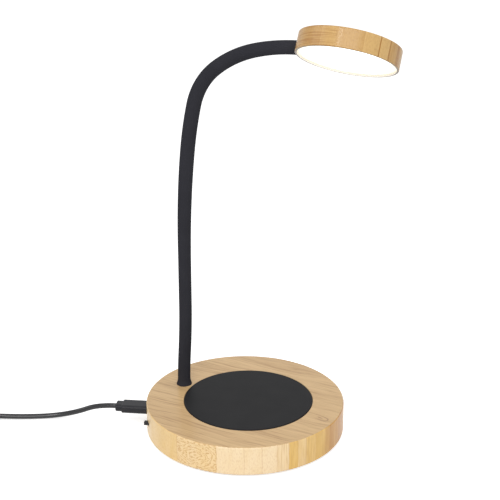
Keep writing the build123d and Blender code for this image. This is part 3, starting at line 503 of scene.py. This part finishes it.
neck_joints = [joint for joint in frame["joints"] if joint["child"].startswith("neck_")]
for number, joint in enumerate(neck_joints):
    first, last = number == 0, number == len(neck_joints) - 1
    start = 0 if first else (neck_ends[number] + neck_ends[number + 1]) / 2
    end = neck_ends[-1] if last else (neck_ends[number + 1] + neck_ends[number + 2]) / 2
    sleeve = sleeve_tube("sleeve_" + joint["child"], start, end)
    sleeve.data.materials.append(silicone)
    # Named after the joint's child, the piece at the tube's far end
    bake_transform(sleeve)
    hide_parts(*("neck_sleeve_%d" % covered for covered in range(number, number + 1 + last)))
dress(zinc, *("neck_core_%d" % number for number in range(len(NECK_LENGTHS))))

# Lamp head: a bamboo cup of the same make as the base, turned about the neck's end. Its own axes run
# away from the neck and out of its back. Its bamboo is darker than the base's, partly as a deeper batch
# and partly as painted shade, since the head gets less light. Its inside is painted pale cream, painted
# light that stands for the diffuser's glow on the wood, and its flat lip is painted a darker brown,
# painted shade for the lip that faces down.
HEAD_RADIUS = 27.95 * MM
HEAD_GAP = 0.3 * MM
HEAD_ROLL = math.radians(28)
HEAD_LACQUER = 0.3
# The head's tones are darker than the base's: partly a deeper batch of bamboo, partly painted shade.
HEAD_TONES_WITH_SHADE = ((0.6, 0.385, 0.145, 1), (0.39, 0.195, 0.038, 1), (0.27, 0.095, 0.015, 1))
HEAD_FACE_TONES_WITH_SHADE = ((0.55, 0.36, 0.15, 1), (0.33, 0.18, 0.06, 1))
# Painted shade: the flat lip's darker brown stands for the shade on the lip, which faces down.
LIP_PAINTED_SHADE = (0.15, 0.105, 0.06, 1)
LIP_TOP = -5.45 * MM
# Painted light: the cup's inside is painted pale cream so that it reads as wood lit bright by the diffuser.
CUP_PAINTED_GLOW = (0.88, 0.85, 0.79, 1)
CUP_RADIUS = 26.8 * MM
CUP_TOP = 2 * MM
HEAD_STRIPS = (
    (-180, 0.55, STREAKS), (-163, 0.66, STREAKS), (-146, 0.59, LINES), (-128.6, 0.63, LINES),
    (-100.5, 0.3, LINES), (-82, 0.5, SPECKS), (-52.8, 0.1, SPECKS), (-34.8, 1.3, STREAKS),
    (-33.6, 0, SPECKS), (-20.6, 1.4, STREAKS), (-18.6, 0.5, STREAKS), (-5.6, 1.1, STREAKS),
    (0.8, 0.63, STREAKS), (14.3, 0.48, SPECKS), (35, 0.7, STREAKS), (48, 0.51, STREAKS),
    (70, 0.63, LINES), (112, 0.48, SWIRL), (140, 0.78, STREAKS), (153, 0.59, STREAKS),
)
HEAD_SWIRL = (math.radians(126), 0)
head_joint = next(joint for joint in frame["joints"] if joint["name"] == "head_turn")
head_out = Vector(head_joint["axis"])
head_up = Vector((-head_out.z, 0, head_out.x)) * math.cos(HEAD_ROLL) + Vector((0, math.sin(HEAD_ROLL), 0))
head_axes = Matrix((head_out, head_up.cross(head_out), head_up)).transposed()
head_middle = Vector(head_joint["pos_m"]) + head_out * (HEAD_RADIUS + HEAD_GAP)
head_bamboo = bamboo(
    "bamboo_head",
    HEAD_RADIUS,
    HEAD_STRIPS,
    HEAD_SWIRL,
    HEAD_TONES_WITH_SHADE,
    HEAD_FACE_TONES_WITH_SHADE,
    HEAD_LACQUER,
    tuple(head_middle),
    head_axes.to_euler(),
)
tree = head_bamboo.node_tree
colour = tree.nodes["Principled BSDF"].inputs["Base Color"]
x, y, z = place_on(tree, tuple(head_middle), head_axes.to_euler())
# Paints the flat lip below LIP_TOP a darker brown: painted shade.
shaded_lip = mix(tree, calc(tree, "LESS_THAN", z, LIP_TOP), colour.links[0].from_socket, LIP_PAINTED_SHADE)
# Inside the cup the colour is painted pale cream: a painted glow from the diffuser.
in_reach = calc(tree, "LESS_THAN", length(tree, x, y), CUP_RADIUS)
painted_glow_in_cup = calc(tree, "MINIMUM", in_reach, calc(tree, "LESS_THAN", z, CUP_TOP))
feed(tree, colour, mix(tree, painted_glow_in_cup, shaded_lip, CUP_PAINTED_GLOW))
dress(head_bamboo, "head_shell")

# Diffuser: an opal plastic disc pressed into the lip of the head, lit from behind by the LEDs. Its light
# falls off near its edge, where the ledge behind it keeps the LEDs away, and turns a warm cream there:
# that cream is painted light, the diffuser's glow on the wood of the lip set into the disc's own edge.
DIFFUSER_WHITE = (0.9, 0.9, 0.88, 1)
DIFFUSER_SHADE = (0.84, 0.84, 0.82, 1)
GLOW_WHITE = (1, 0.96, 0.89, 1)
# The edge's warm cream is painted light: the glow of the lit wood round the lip.
GLOW_PAINTED_LIP_LIGHT = (1, 0.78, 0.42, 1)
GLOW_LEVEL, GLOW_EDGE_LEVEL = 1.5, 0.5
GLOW_START, GLOW_END = 22.6 * MM, 26 * MM
OPAL_BLOT = 6 * MM
opal, tree, shader = new_finish("opal", Roughness=0.35)
x, y, z = place_on(tree, tuple(head_middle), head_axes.to_euler())
shade = cloud(tree, (x, y, z), (OPAL_BLOT,) * 3, 2.0)
feed(tree, shader.inputs["Base Color"], mix(tree, shade, DIFFUSER_WHITE, DIFFUSER_SHADE))
# Falls off towards the edge and turns the emission warm cream there, partly painted light.
edge_fall_and_painted_glow = ease(tree, length(tree, x, y), GLOW_START, GLOW_END)
feed(tree, shader.inputs["Emission Color"], mix(tree, edge_fall_and_painted_glow, GLOW_WHITE, GLOW_PAINTED_LIP_LIGHT))
level = calc(tree, "MULTIPLY_ADD", edge_fall_and_painted_glow, GLOW_EDGE_LEVEL - GLOW_LEVEL, GLOW_LEVEL)
feed(tree, shader.inputs["Emission Strength"], level)
dress(opal, "diffuser")

# Lead: a round black cord of one metre with its plugs, moulded on. It leaves the plug's collar, drops to
# the table and runs to a neat coil in two layers, held by a soft tie. The route is on the port's axes.
PORT_TURN = math.radians(202)
CORD_DIAMETER = 3.2 * MM
CORD_ROUTE = (
    (80.1, 0, 9.43), (91.6, 0, 9.43), (105, 1.2, 4.3), (120, 3, 1.7),
    (137, 6, 1.7), (155, 8.6, 2.5), (172, 8.6, 2.5),
)
COIL_MIDDLE = (175.2, 34.225)
COIL_LOW, COIL_HIGH = 2.5, 6.25
COIL_INNER_RADIUS, COIL_PITCH = 12.5, 3.75
COIL_CLIMB_START, COIL_CLIMB_END, COIL_TURNS = 3.5, 4.0, 7.25
COIL_POINTS_PER_TURN = 24
COIL_DIP = 0.9
TAIL_LENGTH, TAIL_END = 20, 23.2
TAIL_REACH = np.array((0.35, 0.7, 1))
TAIL_SINK = np.array((0.15, 0.85, 1))
HOST_PLUG_MIDDLE = 4.1
cord_skin = moulded(
    "cord_skin",
    dark=(0.008, 0.008, 0.01, 1),
    light=(0.014, 0.014, 0.017, 1),
    roughness=0.15,
    gloss=0.5,
    grain=2 * MM,
    relief=0.01 * MM,
)


def coil_points():
    """The coil: a spiral that closes in by one pitch a turn, climbs a layer in half a turn, and opens out
    again on top, where it ends in a straight tail that comes down to the plug."""
    turns = np.linspace(0, COIL_TURNS, round(COIL_TURNS * COIL_POINTS_PER_TURN) + 1)
    climb = np.clip((turns - COIL_CLIMB_START) / (COIL_CLIMB_END - COIL_CLIMB_START), 0, 1)
    outward = np.maximum(COIL_CLIMB_START - turns, turns - COIL_CLIMB_END)
    radius = COIL_INNER_RADIUS + COIL_PITCH * np.maximum(outward, 0) - COIL_DIP * np.sin(math.pi * climb)
    height = COIL_LOW + (COIL_HIGH - COIL_LOW) * climb**2 * (3 - 2 * climb)
    angle = 2 * math.pi * turns - math.pi / 2
    ring = np.stack((radius * np.cos(angle), radius * np.sin(angle), height), axis=-1)
    forward = np.array((-math.sin(angle[-1]), math.cos(angle[-1]), 0))
    reach = TAIL_REACH * TAIL_LENGTH
    sink = TAIL_SINK * (HOST_PLUG_MIDDLE - COIL_HIGH)
    tail = ring[-1] + reach[:, None] * forward + sink[:, None] * np.array((0, 0, 1))
    end = tail[-1] + (TAIL_END - TAIL_LENGTH) * forward
    return np.concatenate((ring, tail, end[None])) + np.array((*COIL_MIDDLE, 0))


route = np.concatenate((np.array(CORD_ROUTE, float), coil_points())) * MM
turned = np.array(((math.cos(PORT_TURN), math.sin(PORT_TURN)), (-math.sin(PORT_TURN), math.cos(PORT_TURN))))
route[:, :2] = route[:, :2] @ turned
line = bpy.data.curves.new("lead", "CURVE")
line.dimensions = "3D"
line.bevel_depth = CORD_DIAMETER / 2
line.bevel_resolution = 6
line.resolution_u = 6
line.use_fill_caps = True
spline = line.splines.new("NURBS")
spline.points.add(len(route) - 1)
spline.points.foreach_set("co", np.column_stack((route, np.ones(len(route)))).ravel())
spline.order_u = 3
spline.use_endpoint_u = True
lead = bpy.data.objects.new("lead", line)
bpy.context.scene.collection.objects.link(lead)
line.materials.append(cord_skin)
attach(lead, "lead")
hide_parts("lead_cord", "lead_coil")

# Floor: a broad pale sheet, a hair under the pad that the lamp stands on. It glows a little where it is
# looked at, so that it comes out white and keeps a soft shadow.
FLOOR_SIZE = 6.0
FLOOR_DROP = 0.05 * MM
FLOOR_WHITE = (0.8, 0.8, 0.8, 1)
FLOOR_GLOW = 0.58
bpy.ops.mesh.primitive_plane_add(size=FLOOR_SIZE, location=(0, 0, -FLOOR_DROP))
floor = bpy.context.object
floor.name = "floor"
sheet, tree, shader = new_finish(
    "floor_sheet", Base_Color=FLOOR_WHITE, Roughness=0.9, Specular_IOR_Level=0, Emission_Color=(1, 1, 1, 1)
)


def looked_at(tree):
    """1 on rays that come from the camera, a reflection or glass, and 0 on those that only carry light."""
    seen = tree.nodes.new("ShaderNodeLightPath").outputs
    mirrored = calc(tree, "MAXIMUM", seen["Is Glossy Ray"], seen["Is Transmission Ray"])
    return calc(tree, "MAXIMUM", seen["Is Camera Ray"], mirrored)


feed(tree, shader.inputs["Emission Strength"], calc(tree, "MULTIPLY", looked_at(tree), FLOOR_GLOW))
floor.data.materials.append(sheet)

# Light: a pale sky all round, a broad soft box near the camera, weaker ones from the left and above, and
# a narrow one for the glints on the black pieces. All the boxes face a point above the plate.
SKY_LEVEL = 0.5
AIM_POINT = Vector((0, 0, 0.1))
world = bpy.data.worlds.new("sky")
bpy.context.scene.world = world
world.use_nodes = True
tree = world.node_tree
level = calc(tree, "MULTIPLY_ADD", looked_at(tree), 1 - SKY_LEVEL, SKY_LEVEL)
tree.nodes["Background"].inputs["Color"].default_value = (1, 1, 1, 1)
feed(tree, tree.nodes["Background"].inputs["Strength"], level)
# Each soft box: its name, direction as azimuth and height in degrees, distance, width and power
SOFT_BOXES = (
    ("front_box", -62, 34, 1.5, 1.0, 11.3),
    ("left_box", -150, 40, 1.6, 0.8, 4.0),
    ("top_box", 60, 75, 1.5, 1.2, 5.0),
    ("glint_box", -89, 48, 1.4, 0.15, 1.2),
)
for name, azimuth, height, distance, width, power in SOFT_BOXES:
    lamp = bpy.data.lights.new(name, "AREA")
    lamp.size = width
    lamp.energy = power
    box = bpy.data.objects.new(name, lamp)
    turn, lift = math.radians(azimuth), math.radians(height)
    way = Vector((math.cos(turn) * math.cos(lift), math.sin(turn) * math.cos(lift), math.sin(lift)))
    box.location = way * distance + AIM_POINT
    box.rotation_euler = way.to_track_quat("Z", "Y").to_euler()
    bpy.context.scene.collection.objects.link(box)
